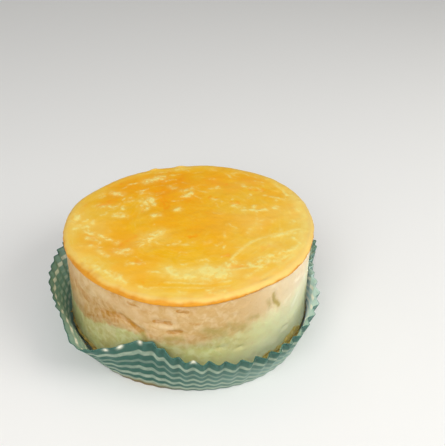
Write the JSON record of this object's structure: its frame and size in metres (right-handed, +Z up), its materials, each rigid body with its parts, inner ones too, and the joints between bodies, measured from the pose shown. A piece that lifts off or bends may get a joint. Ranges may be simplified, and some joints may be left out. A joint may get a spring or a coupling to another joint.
{
  "type": "cheesecake",
  "caption": "Small round baked cheesecake with a glossy browned top and a thin sponge base, standing in a flared, pleated paper case with pale rings.",
  "frame": {"origin": "centre of the paper case's flat underside, on the surface that it rests on", "axes": "+Z up through the cake; the side towards the viewer faces -Y, with +X to the viewer's right"},
  "size_m": [0.1144, 0.1164, 0.0415],
  "materials": {
    "browned_top": "golden baked skin with a moist gloss, paler brush streaks and an orange-brown rim",
    "cheese_body": "soft moist pale cheese, peach above and tinted green towards the paper",
    "sponge_base": "crumbly golden-brown sponge",
    "paper_case": "matt greaseproof paper, teal with five thin cream rings"
  },
  "bodies": {
    "root": {"browned_top": "browned_top", "cheese_body": "cheese_body", "sponge_base": "sponge_base", "paper_case": "paper_case"}
  },
  "joints": []
}
